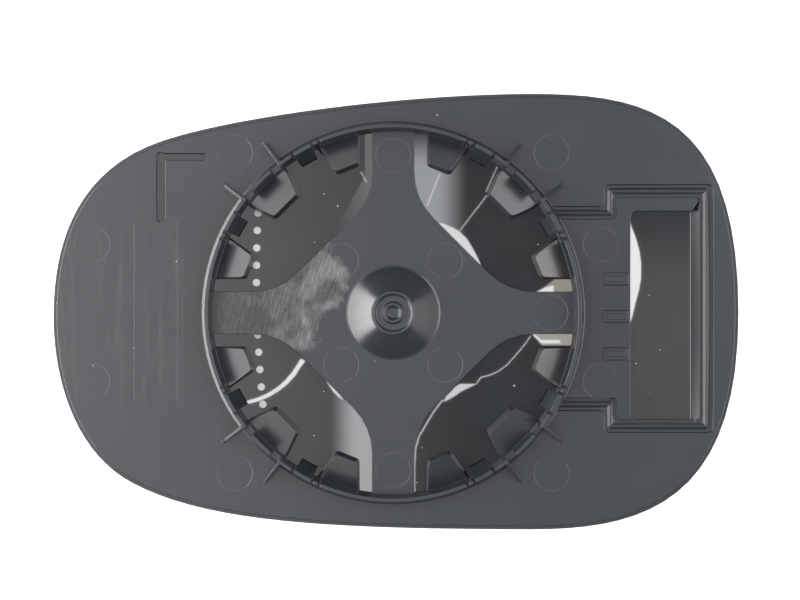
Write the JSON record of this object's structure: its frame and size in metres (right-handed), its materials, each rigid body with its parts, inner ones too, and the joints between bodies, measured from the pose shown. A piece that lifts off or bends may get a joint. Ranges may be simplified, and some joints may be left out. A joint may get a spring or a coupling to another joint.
{
  "type": "car door mirror glass",
  "caption": "Convex mirror glass bonded to a black moulded holder plate, whose round snap collar with inward hooks clips onto the door mirror's motor.",
  "frame": {"origin": "on the snap collar's axis, where the axis meets the plate's curved back face", "axes": "+X along the long side towards the window, +Y across it towards the corner mark's side, +Z along the collar's axis out of the plate's back towards the motor"},
  "size_m": [0.1708, 0.1088, 0.0122],
  "materials": {
    "holder_plate": "black injection-moulded plastic with a faint sheen",
    "adhesive_film": "dull black double-sided foam film",
    "mirror_glass": "silvered convex glass with a dark protective coat on its back"
  },
  "bodies": {
    "root": {"holder_plate": "holder_plate", "adhesive_film": "adhesive_film", "mirror_glass": "mirror_glass"}
  },
  "joints": []
}
